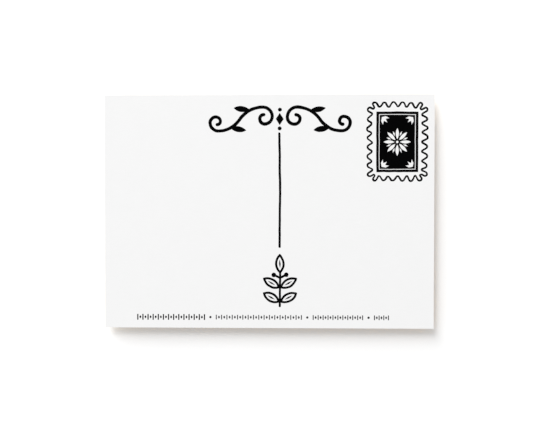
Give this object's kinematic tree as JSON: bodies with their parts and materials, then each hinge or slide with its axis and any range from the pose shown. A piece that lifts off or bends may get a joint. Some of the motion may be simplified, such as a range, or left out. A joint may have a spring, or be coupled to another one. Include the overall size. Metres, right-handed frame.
{
  "type": "postcard",
  "caption": "Flat rectangular postcard lying writing side up: layered white board with a dividing line, a waved stamp outline and plain printed ornaments, for a message sent by post.",
  "frame": {"origin": "centre of the underside, the picture side, on the surface that the card lies on", "axes": "+X along the long side to the reader's right, +Y to the top of the writing side, +Z out of the writing side"},
  "size_m": [0.1524, 0.108, 0.0004],
  "materials": {
    "picture_print": "gloss print",
    "clay_coating": "calendered coating",
    "bleached_liner": "uncoated wove",
    "board_core": "cut edge",
    "black_ink": "satin ink film"
  },
  "bodies": {
    "root": {"picture_ink": "picture_print", "picture_coating": "clay_coating", "picture_ply": "bleached_liner", "core_ply": "board_core", "writing_ply": "bleached_liner", "header_scroll_left": "black_ink", "header_scroll_right": "black_ink", "header_lozenge": "black_ink", "header_pearls": "black_ink", "divider_line": "black_ink", "sprig": "black_ink", "sprig_veins": "black_ink", "stamp_outline": "black_ink", "stamp_border": "black_ink", "stamp_field": "black_ink", "imprint_rule_1": "black_ink", "imprint_rule_2": "black_ink", "imprint_rule_3": "black_ink", "imprint_rule_4": "black_ink", "imprint_dots": "black_ink"}
  },
  "joints": []
}
